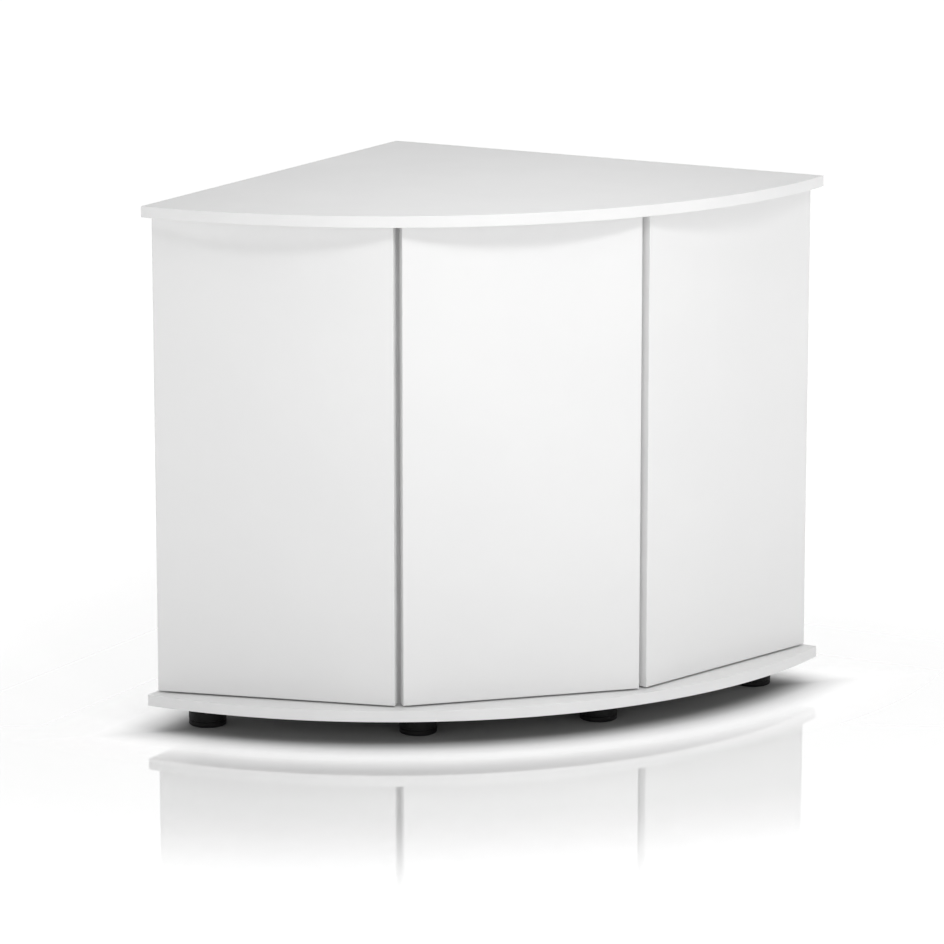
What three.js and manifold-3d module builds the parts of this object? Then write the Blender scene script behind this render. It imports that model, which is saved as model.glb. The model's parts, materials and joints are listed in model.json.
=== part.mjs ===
// Corner cabinet that carries an aquarium: a quarter-round base and top, two walls on the straight sides,
// two partitions, and a three-sided front of hinged, push-to-open doors. Millimetres, +Z up, front facing -Y.
// The origin is on the floor, under the middle of the bounding box.
import * as THREE from "three";
import { mergeVertices } from "three/addons/utils/BufferGeometryUtils.js";
import Module from "manifold-3d";

const wasm = await Module();
wasm.setup();

// ---- Driving dimensions -----------------------------------------------------------------------------
const SPAN = 985; // tip to tip across the front
const HEIGHT = 740;
const FOOT_HEIGHT = 38;
const BOARD = 16; // thickness of every melamine-faced board
const GAP = 0.3; // left between pieces that touch
const FRONT_SETBACK = 15.3; // from the curved edge of the plates to each corner of the three-sided front
const DOOR_WIDTH = 340;
const DOOR_CLEARANCE = 2.5; // above and below each door
const WALL_INSET = 5; // from the straight edge of the plates to a wall's outer face

const PLATE_RADIUS = SPAN / Math.SQRT2;
const FRONT_RADIUS = PLATE_RADIUS - FRONT_SETBACK;
const DOORS = 3;
const FACET = Math.PI / 2 / DOORS; // angle that each door spans at the back corner
const FACET_LENGTH = 2 * FRONT_RADIUS * Math.sin(FACET / 2);
const DOOR_EDGE = (FACET_LENGTH - DOOR_WIDTH) / 2; // from a corner of the front to the door's edge

const BASE_BOTTOM = FOOT_HEIGHT;
const INSIDE_BOTTOM = BASE_BOTTOM + BOARD;
const INSIDE_TOP = HEIGHT - BOARD;
const DOOR_BOTTOM = INSIDE_BOTTOM + DOOR_CLEARANCE;
const DOOR_TOP = INSIDE_TOP - DOOR_CLEARANCE;
const UPRIGHT_HEIGHT = INSIDE_TOP - INSIDE_BOTTOM - 2 * GAP;

// Uprights. They stop short of the doors, so that the hinge edge of an opening door turns clear of them.
const WALL_TO_DOOR = 4.5; // a wall's front end is mitred to run along the door's back at this distance
const PARTITION_STOP = 23.2; // from the corner between two doors
const PARTITION_DEPTH = 328;
const WINDOW = { from: 60, width: 90, bottom: 590, height: 100, corner: 15 }; // hose and cable window in a wall

// Feet: two pairs under the curved edge, one pair under the walls, one under the back corner.
const FOOT_RADIUS = 26.5;
const FOOT_CHAMFER = 2;
const FRONT_FEET = {
  // distance from the back corner, and degrees either side of the middle
  mid: { reach: 607, bearing: 12.5 },
  outer: { reach: 619, bearing: 40.6 },
};
const WALL_FOOT = { along: 330, inward: 48 };
const CORNER_FOOT_SETBACK = 85;

// Hinges, in a door's own frame: u runs along the door from the corner of the front at its hinge side, v inward.
const HINGE_FROM_END = 95; // from the door's end to the hinge's middle
const CUP = { fromEdge: 20.5, radius: 17.2, hollow: 16.2, depth: 12.2, floor: 1.1 };
const CUP_WING = { width: 13, length: 60, thickness: 1.2 };
const PIVOT = new THREE.Vector2(DOOR_EDGE + 8.5, 8);
const PIN_RADIUS = 1.4;
const EYE_RADIUS = 2.5;
const NOSE = { angle: THREE.MathUtils.degToRad(5), length: 22, thickness: 2, width: 8, root: 2 };
const ARM = { start: 45, length: 55, height: 8, width: 12 };
const PLATE_RAIL = { height: 9, width: 12, start: 52, length: 44 };
const PLATE_WING = { thickness: 3, width: 18, length: 52 };

// Push latch under the top, close to each door's free edge.
const LATCH = { fromCorner: 45, side: 18, front: 18.5, length: 60, bore: 4.3, boreDepth: 42 };
const PLUNGER = { radius: 4, front: BOARD + 0.4, length: 32 };

// Cam locks that draw the uprights against base and top.
const CAM = { radius: 7.2, depth: 12, fromEnd: 34, slot: 1.6, slotReach: 5, slotDepth: 2 };
const WALL_CAMS = [200, 540]; // from the back corner
const PARTITION_CAM = 480;

const ROUND = 28; // sides of a turned piece
const FINE_ROUND = 16; // sides of a pin and its bore
const OVERCUT = 1; // how far a cutter reaches past the face that it opens
const ARC_STEPS = 72; // sides of the plates' curved edge
const WINDOW_STEPS = 6; // sides of each rounded corner of a window

const MATERIALS = {
  melamine: new THREE.MeshStandardMaterial({ color: 0xf2f2f1, roughness: 0.42, metalness: 0 }),
  foot: new THREE.MeshStandardMaterial({ color: 0x111112, roughness: 0.5, metalness: 0 }),
  steel: new THREE.MeshStandardMaterial({ color: 0xb9babb, roughness: 0.28, metalness: 1 }),
  zinc: new THREE.MeshStandardMaterial({ color: 0x9fa1a3, roughness: 0.45, metalness: 1 }),
  latch: new THREE.MeshStandardMaterial({ color: 0xd9dad8, roughness: 0.5, metalness: 0 }),
  plunger: new THREE.MeshStandardMaterial({ color: 0x8c8e90, roughness: 0.45, metalness: 0 }),
};

// ---- Solids -----------------------------------------------------------------------------------------
function toSolid(geometry) {
  const bare = new THREE.BufferGeometry();
  const source = geometry.index ? geometry.toNonIndexed() : geometry;
  bare.setAttribute("position", source.getAttribute("position"));
  const merged = mergeVertices(bare, 1e-4);
  return new wasm.Manifold(
    new wasm.Mesh({
      numProp: 3,
      vertProperties: merged.attributes.position.array,
      triVerts: new Uint32Array(merged.index.array),
    }),
  );
}

function toGeometry(solid) {
  const mesh = solid.getMesh();
  const geometry = new THREE.BufferGeometry();
  geometry.setAttribute("position", new THREE.BufferAttribute(mesh.vertProperties, 3));
  geometry.setIndex(new THREE.BufferAttribute(mesh.triVerts, 1));
  geometry.computeVertexNormals();
  return geometry;
}

// A box given by its lowest and highest corner.
function boxBetween([x0, y0, z0], [x1, y1, z1]) {
  const box = new THREE.BoxGeometry(x1 - x0, y1 - y0, z1 - z0);
  return box.translate((x0 + x1) / 2, (y0 + y1) / 2, (z0 + z1) / 2);
}

// A cylinder along Y, from one height to another, as every pocket and turned piece in an upright face is.
function cylinderAlongY(radius, from, to, x, z, sides = ROUND) {
  const cylinder = new THREE.CylinderGeometry(radius, radius, to - from, sides);
  return cylinder.translate(x, (from + to) / 2, z);
}

function cylinderAlongZ(radius, from, to, x, y, sides = ROUND) {
  const cylinder = new THREE.CylinderGeometry(radius, radius, to - from, sides);
  return cylinder.rotateX(Math.PI / 2).translate(x, y, (from + to) / 2);
}

function extrude(shape, from, to) {
  const options = { depth: to - from, bevelEnabled: false, curveSegments: ARC_STEPS };
  return new THREE.ExtrudeGeometry(shape, options).translate(0, 0, from);
}

function cut(body, ...tools) {
  return toGeometry(tools.reduce((rest, tool) => rest.subtract(toSolid(tool)), toSolid(body)));
}

function join(...bodies) {
  return toGeometry(bodies.map(toSolid).reduce((all, body) => all.add(body)));
}

function named(name, geometry, material) {
  const mesh = new THREE.Mesh(geometry, material);
  mesh.name = name;
  return mesh;
}

// ---- Plates -----------------------------------------------------------------------------------------
// Everything from here on is placed from the back corner, where the two straight sides meet.
function quarterRound() {
  const shape = new THREE.Shape();
  const leftTip = (5 / 4) * Math.PI;
  const rightTip = (7 / 4) * Math.PI;
  shape.moveTo(0, 0);
  shape.lineTo(PLATE_RADIUS * Math.cos(leftTip), PLATE_RADIUS * Math.sin(leftTip));
  shape.absarc(0, 0, PLATE_RADIUS, leftTip, rightTip, false);
  shape.closePath();
  return shape;
}

function plates() {
  const group = new THREE.Group();
  group.add(named("base_panel", extrude(quarterRound(), BASE_BOTTOM, INSIDE_BOTTOM), MATERIALS.melamine));
  group.add(named("top_panel", extrude(quarterRound(), INSIDE_TOP, HEIGHT), MATERIALS.melamine));
  return group;
}

// ---- Uprights and their cam locks -------------------------------------------------------------------
const uprightTurn = Math.PI / 2 - FACET / 2; // angle between a door and the upright that carries it

// How far along an upright, from the front's corner, it meets the plane `depth` behind the door's outer face,
// at `n` from the upright's line.
function alongUpright(depth, n) {
  return (depth + n * Math.cos(uprightTurn)) / Math.sin(uprightTurn);
}

const camHeights = { lower: INSIDE_BOTTOM + CAM.fromEnd, upper: INSIDE_TOP - CAM.fromEnd };

// The pocket that a cam lock drops into, open at the face y = `face` and sunk towards -Y when `inward` is -1.
function camPocket(x, face, inward, z) {
  const bottom = face + inward * (CAM.depth + 2 * GAP);
  const mouth = face - inward * OVERCUT;
  return cylinderAlongY(CAM.radius + GAP, Math.min(bottom, mouth), Math.max(bottom, mouth), x, z);
}

function camLock(name, x, face, inward, z) {
  const bottom = face + inward * (CAM.depth + GAP);
  const disc = cylinderAlongY(CAM.radius, Math.min(bottom, face), Math.max(bottom, face), x, z);
  const slotFloor = face + inward * CAM.slotDepth;
  const slotMouth = face - inward * OVERCUT;
  const slots = [
    [CAM.slotReach, CAM.slot / 2],
    [CAM.slot / 2, CAM.slotReach],
  ].map(([halfX, halfZ]) =>
    boxBetween(
      [x - halfX, Math.min(slotFloor, slotMouth), z - halfZ],
      [x + halfX, Math.max(slotFloor, slotMouth), z + halfZ],
    ),
  );
  return named(name, cut(disc, ...slots), MATERIALS.zinc);
}

function roundedWindow() {
  const { from, width, bottom, height, corner } = WINDOW;
  const left = from;
  const right = from + width;
  const top = bottom + height;
  const shape = new THREE.Shape();
  shape.absarc(right - corner, bottom + corner, corner, -Math.PI / 2, 0, false);
  shape.absarc(right - corner, top - corner, corner, 0, Math.PI / 2, false);
  shape.absarc(left + corner, top - corner, corner, Math.PI / 2, Math.PI, false);
  shape.absarc(left + corner, bottom + corner, corner, Math.PI, (3 / 2) * Math.PI, false);
  const options = { depth: BOARD + 2 * OVERCUT, bevelEnabled: false, curveSegments: WINDOW_STEPS };
  return new THREE.ExtrudeGeometry(shape, options)
    .rotateX(Math.PI / 2)
    .translate(0, WALL_INSET + BOARD + OVERCUT, 0);
}

// A wall in its own frame: X runs from the back corner along the straight side, Y points into the cabinet.
function wall(side, start) {
  const inner = WALL_INSET + BOARD;
  const bottom = INSIDE_BOTTOM + GAP;
  const frontEnd = (y) => new THREE.Vector2(FRONT_RADIUS - alongUpright(BOARD + WALL_TO_DOOR, y), y);
  const outline = new THREE.Shape([
    new THREE.Vector2(start, WALL_INSET),
    frontEnd(WALL_INSET),
    frontEnd(inner),
    new THREE.Vector2(start, inner),
  ]);
  const board = extrude(outline, bottom, bottom + UPRIGHT_HEIGHT);
  const places = Object.entries(camHeights).flatMap(([level, z]) =>
    WALL_CAMS.map((x, i) => ({ name: `${side}_wall_cam_${level}_${i === 0 ? "rear" : "front"}`, x, z })),
  );
  const pockets = places.map(({ x, z }) => camPocket(x, inner, -1, z));
  const group = new THREE.Group();
  group.add(named(`${side}_wall`, cut(board, roundedWindow(), ...pockets), MATERIALS.melamine));
  places.forEach(({ name, x, z }) => group.add(camLock(name, x, inner, -1, z)));
  group.rotation.z = (5 / 4) * Math.PI;
  return group;
}

// A partition in its own frame: X runs from the back corner through the corner between two doors.
function partition(side) {
  const end = FRONT_RADIUS - PARTITION_STOP;
  const outer = -BOARD / 2;
  const bottom = INSIDE_BOTTOM + GAP;
  const board = boxBetween([end - PARTITION_DEPTH, outer, bottom], [end, -outer, bottom + UPRIGHT_HEIGHT]);
  const pockets = Object.values(camHeights).map((z) => camPocket(PARTITION_CAM, outer, 1, z));
  const group = new THREE.Group();
  group.add(named(`${side}_partition`, cut(board, ...pockets), MATERIALS.melamine));
  Object.entries(camHeights).forEach(([level, z]) =>
    group.add(camLock(`${side}_partition_cam_${level}`, PARTITION_CAM, outer, 1, z)),
  );
  group.rotation.z = (3 / 2) * Math.PI - FACET / 2;
  return group;
}

// ---- Feet -------------------------------------------------------------------------------------------
function foot(name, x, y) {
  const top = FOOT_HEIGHT - GAP;
  const profile = [
    new THREE.Vector2(0, 0),
    new THREE.Vector2(FOOT_RADIUS - FOOT_CHAMFER, 0),
    new THREE.Vector2(FOOT_RADIUS, FOOT_CHAMFER),
    new THREE.Vector2(FOOT_RADIUS, top),
    new THREE.Vector2(0, top),
  ];
  const turned = new THREE.LatheGeometry(profile, ROUND).rotateX(Math.PI / 2).translate(x, y, 0);
  return named(name, turned, MATERIALS.foot);
}

function sideFeet(side) {
  const group = new THREE.Group();
  Object.entries(FRONT_FEET).forEach(([place, { reach, bearing }]) => {
    const angle = THREE.MathUtils.degToRad(bearing);
    group.add(foot(`${side}_${place}_foot`, -reach * Math.sin(angle), -reach * Math.cos(angle)));
  });
  const { along, inward } = WALL_FOOT;
  group.add(foot(`${side}_wall_foot`, (inward - along) * Math.SQRT1_2, -(inward + along) * Math.SQRT1_2));
  return group;
}

// ---- Doors, hinges and latches, each in its door's own frame ----------------------------------------
const hingeHeights = { lower: DOOR_BOTTOM + HINGE_FROM_END, upper: DOOR_TOP - HINGE_FROM_END };
const cupCentre = DOOR_EDGE + CUP.fromEdge;

// A point at `t` along the upright from the front's corner, and `n` from its line towards the door's middle.
function fromUpright(t, n) {
  return new THREE.Vector2(
    t * Math.cos(uprightTurn) + n * Math.sin(uprightTurn),
    t * Math.sin(uprightTurn) - n * Math.cos(uprightTurn),
  );
}

// A box laid along the upright: t from the front's corner, n from the upright's line.
function boxOnUpright([t0, n0, z0], [t1, n1, z1]) {
  return boxBetween([t0, -n1, z0], [t1, -n0, z1]).rotateZ(uprightTurn);
}

function door(name) {
  const board = boxBetween([DOOR_EDGE, 0, DOOR_BOTTOM], [DOOR_EDGE + DOOR_WIDTH, BOARD, DOOR_TOP]);
  const pockets = Object.values(hingeHeights).map((z) =>
    cylinderAlongY(CUP.radius + GAP, BOARD - CUP.depth - GAP, BOARD + OVERCUT, cupCentre, z),
  );
  return named(`${name}_door`, cut(board, ...pockets), MATERIALS.melamine);
}

function hingeCup(name, z) {
  const face = BOARD + GAP;
  const rim = face + CUP_WING.thickness;
  const barrel = cylinderAlongY(CUP.radius, BOARD - CUP.depth, rim, cupCentre, z);
  const wing = boxBetween(
    [cupCentre - CUP_WING.width / 2, face, z - CUP_WING.length / 2],
    [cupCentre + CUP_WING.width / 2, rim, z + CUP_WING.length / 2],
  );
  const hollow = cylinderAlongY(CUP.hollow, BOARD - CUP.depth + CUP.floor, rim + OVERCUT, cupCentre, z);
  return named(`${name}_cup`, cut(join(barrel, wing), hollow), MATERIALS.steel);
}

function hingePin(name, z) {
  const wall = CUP.hollow * Math.cos(Math.PI / ROUND);
  const reach = Math.sqrt(wall ** 2 - (cupCentre - PIVOT.x + PIN_RADIUS) ** 2) - GAP;
  const shaft = cylinderAlongZ(PIN_RADIUS, z - reach, z + reach, PIVOT.x, PIVOT.y, FINE_ROUND);
  return named(`${name}_pin`, shaft, MATERIALS.steel);
}

// A bent strip: the outline that runs at half its thickness on both sides of a three-point line.
function bentStrip(start, bend, end, thickness) {
  const first = bend.clone().sub(start).normalize();
  const second = end.clone().sub(bend).normalize();
  const across = (way) => new THREE.Vector2(-way.y, way.x).multiplyScalar(thickness / 2);
  const mitre = across(first).add(across(second));
  mitre.multiplyScalar(thickness ** 2 / 2 / mitre.lengthSq());
  const side = (sign) => [
    start.clone().addScaledVector(across(first), sign),
    bend.clone().addScaledVector(mitre, sign),
    end.clone().addScaledVector(across(second), sign),
  ];
  return new THREE.Shape([...side(-1), ...side(1).reverse()]);
}

// The arm is fixed to the upright. Its nose dips into the cup and ends in the eye round the pin.
function hingeArm(name, z, face) {
  const seat = face + PLATE_RAIL.height + 2 * GAP;
  const bend = PIVOT.clone().add(
    new THREE.Vector2(Math.cos(NOSE.angle), Math.sin(NOSE.angle)).multiplyScalar(NOSE.length),
  );
  const root = fromUpright(ARM.start + NOSE.root, seat + ARM.height / 2);
  const z0 = z - NOSE.width / 2;
  const z1 = z + NOSE.width / 2;
  const body = boxOnUpright(
    [ARM.start, seat, z - ARM.width / 2],
    [ARM.start + ARM.length, seat + ARM.height, z + ARM.width / 2],
  );
  const nose = extrude(bentStrip(PIVOT, bend, root, NOSE.thickness), z0, z1);
  const eye = cylinderAlongZ(EYE_RADIUS, z0, z1, PIVOT.x, PIVOT.y);
  const bore = cylinderAlongZ(PIN_RADIUS + GAP, z0 - OVERCUT, z1 + OVERCUT, PIVOT.x, PIVOT.y, FINE_ROUND);
  return named(`${name}_arm`, cut(join(body, nose, eye), bore), MATERIALS.steel);
}

function hingePlate(name, z, face) {
  const foot = face + GAP;
  const rail = boxOnUpright(
    [PLATE_RAIL.start, foot, z - PLATE_RAIL.width / 2],
    [PLATE_RAIL.start + PLATE_RAIL.length, face + PLATE_RAIL.height, z + PLATE_RAIL.width / 2],
  );
  const middle = PLATE_RAIL.start + PLATE_RAIL.length / 2;
  const wing = boxOnUpright(
    [middle - PLATE_WING.width / 2, foot, z - PLATE_WING.length / 2],
    [middle + PLATE_WING.width / 2, foot + PLATE_WING.thickness, z + PLATE_WING.length / 2],
  );
  return named(`${name}_plate`, join(rail, wing), MATERIALS.steel);
}

function pushLatch(name) {
  const u = FACET_LENGTH - LATCH.fromCorner;
  const top = INSIDE_TOP - GAP;
  const z = top - LATCH.side / 2;
  const half = LATCH.side / 2;
  const back = LATCH.front + LATCH.length;
  const block = boxBetween([u - half, LATCH.front, top - LATCH.side], [u + half, back, top]);
  const bore = cylinderAlongY(LATCH.bore, LATCH.front - OVERCUT, LATCH.front + LATCH.boreDepth, u, z);
  const plunger = cylinderAlongY(PLUNGER.radius, PLUNGER.front, PLUNGER.front + PLUNGER.length, u, z);
  return [
    named(`${name}_latch_housing`, cut(block, bore), MATERIALS.latch),
    named(`${name}_latch_plunger`, plunger, MATERIALS.plunger),
  ];
}

// A door with all that hangs on it. `face` is how far the upright's mounting face is from the upright's line.
function doorSet(name, bearing, turn, face) {
  const group = new THREE.Group();
  group.add(door(name), ...pushLatch(name));
  Object.entries(hingeHeights).forEach(([level, z]) => {
    const hinge = `${name}_hinge_${level}`;
    group.add(hingeCup(hinge, z), hingePin(hinge, z), hingeArm(hinge, z, face), hingePlate(hinge, z, face));
  });
  group.position.set(-FRONT_RADIUS * Math.sin(bearing), -FRONT_RADIUS * Math.cos(bearing), 0);
  group.rotation.z = turn;
  return group;
}

// ---- Assembly ---------------------------------------------------------------------------------------
const WALL_FACE = WALL_INSET + BOARD;
const PARTITION_FACE = BOARD / 2;

function sideAssembly(side) {
  const group = new THREE.Group();
  const wallStart = side === "left" ? WALL_INSET : WALL_FACE + GAP; // the right wall butts against the left one
  group.add(wall(side, wallStart), partition(side), sideFeet(side));
  group.add(doorSet(side, Math.PI / 4, -FACET, WALL_FACE));
  group.scale.x = side === "left" ? 1 : -1;
  return group;
}

const cabinet = new THREE.Group();
cabinet.add(plates(), sideAssembly("left"), sideAssembly("right"));
cabinet.add(doorSet("centre", FACET / 2, 0, PARTITION_FACE));
cabinet.add(foot("corner_foot", 0, -CORNER_FOOT_SETBACK));
cabinet.position.y = PLATE_RADIUS / 2;

const part = new THREE.Group();
part.add(cabinet);

export default part;
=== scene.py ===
"""White quarter-round corner cabinet for an aquarium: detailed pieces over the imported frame, in metres."""

import json
import math

import bmesh
import bpy
from mathutils import Matrix, Vector


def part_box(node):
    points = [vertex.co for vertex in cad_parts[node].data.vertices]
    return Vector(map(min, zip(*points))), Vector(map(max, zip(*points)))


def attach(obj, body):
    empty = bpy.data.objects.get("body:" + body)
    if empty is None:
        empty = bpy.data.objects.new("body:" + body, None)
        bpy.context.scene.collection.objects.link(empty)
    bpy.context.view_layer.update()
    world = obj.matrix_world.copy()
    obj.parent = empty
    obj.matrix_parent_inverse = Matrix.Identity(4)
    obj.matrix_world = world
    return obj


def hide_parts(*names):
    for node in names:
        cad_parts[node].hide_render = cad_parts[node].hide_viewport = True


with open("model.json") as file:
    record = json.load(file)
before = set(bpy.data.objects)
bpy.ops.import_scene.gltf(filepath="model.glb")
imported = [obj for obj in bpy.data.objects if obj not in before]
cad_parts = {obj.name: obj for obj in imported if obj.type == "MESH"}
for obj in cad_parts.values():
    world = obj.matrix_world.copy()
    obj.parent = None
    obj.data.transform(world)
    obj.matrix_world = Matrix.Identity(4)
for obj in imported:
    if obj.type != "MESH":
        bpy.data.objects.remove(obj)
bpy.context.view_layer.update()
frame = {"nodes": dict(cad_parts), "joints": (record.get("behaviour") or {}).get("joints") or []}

MM = 0.001
SIDES = ("left", "right")
DOORS = ("left", "centre", "right")
LEVELS = ("lower", "upper")
CARCASS = "carcass"
UP = Vector((0, 0, 1))
FACING_OUT = Matrix.Rotation(-math.pi / 2, 4, "X")  # stands a shape's z on an upright's face
joints = {joint["name"]: joint for joint in frame["joints"]}

# ---- Dimensions --------------------------------------------------------------------------------------
BOARD = 16 * MM
GAP = 0.3 * MM
FRONT_SETBACK = 15.3 * MM  # from the plates' curved edge to a corner of the front
FACET = math.radians(30)  # angle that each door spans at the back corner
WALL_INSET = 5 * MM
WALL_TO_DOOR = 4.5 * MM
PARTITION_STOP = 23.2 * MM
PARTITION_DEPTH = 328 * MM
WINDOW = {"from": 60 * MM, "width": 90 * MM, "bottom": 590 * MM, "height": 100 * MM, "corner": 15 * MM}

BAND = 1.0 * MM  # thickness of an edge band
BAND_ROUND = 0.85 * MM  # rounding of its outer edges
BAND_JOINT = 0.03 * MM  # hairline between a band and the board
BAND_EASE = 0.35 * MM  # rounding of the bands on the uprights
CORE_EASE = 0.1 * MM  # easing of a board's coated faces
OVERCUT = 1 * MM  # how far a cutter reaches past the face that it opens
ARC_STEPS = 200
TURNED_STEPS = 48

CUP_FROM_EDGE = 20.5 * MM
CUP_RADIUS = 17.2 * MM
CUP_POCKET = CUP_RADIUS + GAP
CUP_DEPTH = 12.2 * MM
CUP_HOLLOW = 16.2 * MM
CUP_RIM = 18.4 * MM
CUP_SHEET = 1.1 * MM  # thickness of its floor
CUP_BENDS = {"heel": 1 * MM, "rim": 0.5 * MM, "hollow": 1.5 * MM}
CUP_WING = {"half_width": 6.5 * MM, "half_length": 30 * MM, "thickness": 1.2 * MM, "screw": 23.5 * MM}
PIVOT_FROM_EDGE = 8.5 * MM
PIVOT_DEPTH = 8 * MM
PIN_RADIUS = 1.4 * MM
EYE_RADIUS = 2.5 * MM
NOSE = {"angle": math.radians(5), "length": 22 * MM, "thickness": 2 * MM, "width": 8 * MM, "root": 2 * MM}
ARM = {"start": 45 * MM, "length": 55 * MM, "height": 8 * MM, "width": 12 * MM, "sheet": 1.2 * MM}
ARM_SCREWS = (12 * MM, 41 * MM)  # from the channel's front end
RAIL = {"height": 9 * MM, "width": 12 * MM, "start": 52 * MM, "length": 44 * MM}
PLATE_WING = {"thickness": 3 * MM, "width": 18 * MM, "length": 52 * MM, "screw": 19.5 * MM}
CAM_RADIUS = 7.2 * MM
CAM_DEPTH = 12 * MM
LATCH_BORE = 4.3 * MM
LATCH_BORE_DEPTH = 42 * MM
RIB = {"count": 7, "start": 12 * MM, "pitch": 6 * MM, "width": 2 * MM, "height": 0.4 * MM, "short": 2 * MM}
PLUNGER_RADIUS = 4 * MM
FOOT_RECESS = 9 * MM  # radius and depth of the hole underneath
FOOT_SOLE = {"flat": 6 * MM, "inset": 2.4 * MM, "rounding": 2.2 * MM}
FOOT_GROOVE = {"low": 7 * MM, "high": 8.8 * MM, "depth": 1.2 * MM}  # between glide and body
FOOT_STEP = {"low": 5 * MM, "high": 3 * MM, "chamfer": 1 * MM}  # below the foot's top
FOOT_SLOPE = 0.6 * MM


# ---- Frames ------------------------------------------------------------------------------------------
def columns(x_axis, y_axis, z_axis, origin):
    """The placement with these axes and this origin."""
    turn = Matrix((x_axis, y_axis, z_axis)).transposed().to_4x4()
    return Matrix.Translation(origin) @ turn


plate_low, plate_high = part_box("top_panel")
door_low, door_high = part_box("centre_door")
PLATE_RADIUS = plate_high.y - plate_low.y
BACK_CORNER = Vector((0, plate_high.y, 0))
FRONT_RADIUS = PLATE_RADIUS - FRONT_SETBACK
FACET_LENGTH = 2 * FRONT_RADIUS * math.sin(FACET / 2)
DOOR_WIDTH = door_high.x - door_low.x
DOOR_EDGE = (FACET_LENGTH - DOOR_WIDTH) / 2  # from a corner of the front to the door's edge
UPRIGHT_TURN = math.pi / 2 - FACET / 2  # angle between a door and the upright that carries it


def door_axes(door):
    """The directions along the door from its hinge edge, and inward from its outer face."""
    inward = Vector(joints[f"{door}_latch_push"]["axis"]).normalized()
    handed = -joints[f"{door}_door_hinge"]["axis"][2]
    return Vector((inward.y, -inward.x, 0)) * handed, inward


def door_edge_point(door):
    """The door's outer hinge edge, on the floor."""
    along, inward = door_axes(door)
    pivot = Vector(joints[f"{door}_door_hinge"]["pos_m"])
    pivot.z = 0
    return pivot - along * PIVOT_FROM_EDGE - inward * PIVOT_DEPTH


def door_frame(door):
    """x along the door, y inward, z up."""
    along, inward = door_axes(door)
    return columns(along, inward, UP, door_edge_point(door))


def upright_frame(door):
    """x along the upright that carries the door, from the front's corner, y away from its line, z up."""
    along, inward = door_axes(door)
    into = along * math.cos(UPRIGHT_TURN) + inward * math.sin(UPRIGHT_TURN)
    away = along * math.sin(UPRIGHT_TURN) - inward * math.cos(UPRIGHT_TURN)
    return columns(into, away, UP, door_edge_point(door) - along * DOOR_EDGE)


def radial_frame(side, bearing):
    """x from the back corner at this bearing off the middle, y towards the middle, z up."""
    hand = -1 if side == "left" else 1
    out = Vector((hand * math.sin(bearing), -math.cos(bearing), 0))
    middle = Vector((-hand * math.cos(bearing), -math.sin(bearing), 0))
    return columns(out, middle, UP, BACK_CORNER)


def wall_frame(side):
    """The radial frame along a side wall."""
    return radial_frame(side, math.radians(45))


def partition_frame(side):
    """The radial frame along a partition, behind a joint of the front."""
    return radial_frame(side, FACET / 2)


# ---- Mesh building -----------------------------------------------------------------------------------
def loft(loops, closed=False):
    """A skin over rings of points with equal counts, closed on itself or capped at both ends."""
    mesh = bmesh.new()
    rings = [[mesh.verts.new(point) for point in loop] for loop in loops]
    follow = rings[1:] + rings[:1] if closed else rings[1:]
    for low, high in zip(rings, follow):
        for i in range(len(low)):
            j = (i + 1) % len(low)
            mesh.faces.new((low[i], low[j], high[j], high[i]))
    if not closed:
        mesh.faces.new(rings[0])
        mesh.faces.new(rings[-1])
    return mesh


def turned(profile, closed=False, steps=TURNED_STEPS):
    """A turned shape round z from (radius, height) points."""
    angles = [2 * math.pi * i / steps for i in range(steps)]
    return loft([[(r * math.cos(a), r * math.sin(a), h) for a in angles] for r, h in profile], closed)


def arc(centre_x, centre_y, radius, start, end, steps):
    """Points on an arc, angles in degrees."""
    angles = [math.radians(start + (end - start) * i / steps) for i in range(steps + 1)]
    return [(centre_x + radius * math.cos(a), centre_y + radius * math.sin(a)) for a in angles]


def prism(outline, low, high, ease=0.0, segments=3):
    """An outline in x and y, raised from low to high, with its edges rounded by ease."""
    mesh = loft([[(x, y, z) for x, y in outline] for z in (low, high)])
    if ease:
        sharp = [edge for edge in mesh.edges if edge.calc_face_angle(0) > math.radians(25)]
        bmesh.ops.bevel(mesh, geom=sharp, offset=ease, segments=segments, profile=0.5, affect="EDGES")
    return mesh


def block(low, high, ease=0.0, segments=3):
    """A box between two corners, with rounded edges."""
    (x0, y0, z0), (x1, y1, z1) = low, high
    return prism([(x0, y0), (x1, y0), (x1, y1), (x0, y1)], z0, z1, ease, segments)


def rounded_rectangle(x0, y0, x1, y1, radius, steps=8):
    corners = ((x1 - radius, y0 + radius, -90), (x1 - radius, y1 - radius, 0))
    corners += ((x0 + radius, y1 - radius, 90), (x0 + radius, y0 + radius, 180))
    return [point for x, y, start in corners for point in arc(x, y, radius, start, start + 90, steps)]


def moved(mesh, place):
    mesh.transform(place)
    return mesh


def merged(*parts):
    """One mesh of several."""
    whole = bmesh.new()
    for part in parts:
        scratch = bpy.data.meshes.new("scratch")
        part.to_mesh(scratch)
        part.free()
        whole.from_mesh(scratch)
        bpy.data.meshes.remove(scratch)
    return whole


def scratch_object(mesh):
    bmesh.ops.recalc_face_normals(mesh, faces=mesh.faces[:])
    data = bpy.data.meshes.new("scratch")
    mesh.to_mesh(data)
    mesh.free()
    made = bpy.data.objects.new("scratch", data)
    bpy.context.scene.collection.objects.link(made)
    return made


def carved(mesh, *cutters):
    """The mesh with each cutter taken out of it."""
    body = scratch_object(mesh)
    tools = [scratch_object(cutter) for cutter in cutters]
    for tool in tools:
        cut = body.modifiers.new("cut", "BOOLEAN")
        cut.operation = "DIFFERENCE"
        cut.solver = "EXACT"
        cut.object = tool
    result = bmesh.new()
    result.from_object(body, bpy.context.evaluated_depsgraph_get())
    for made in [body, *tools]:
        data = made.data
        bpy.data.objects.remove(made)
        bpy.data.meshes.remove(data)
    return result


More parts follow.
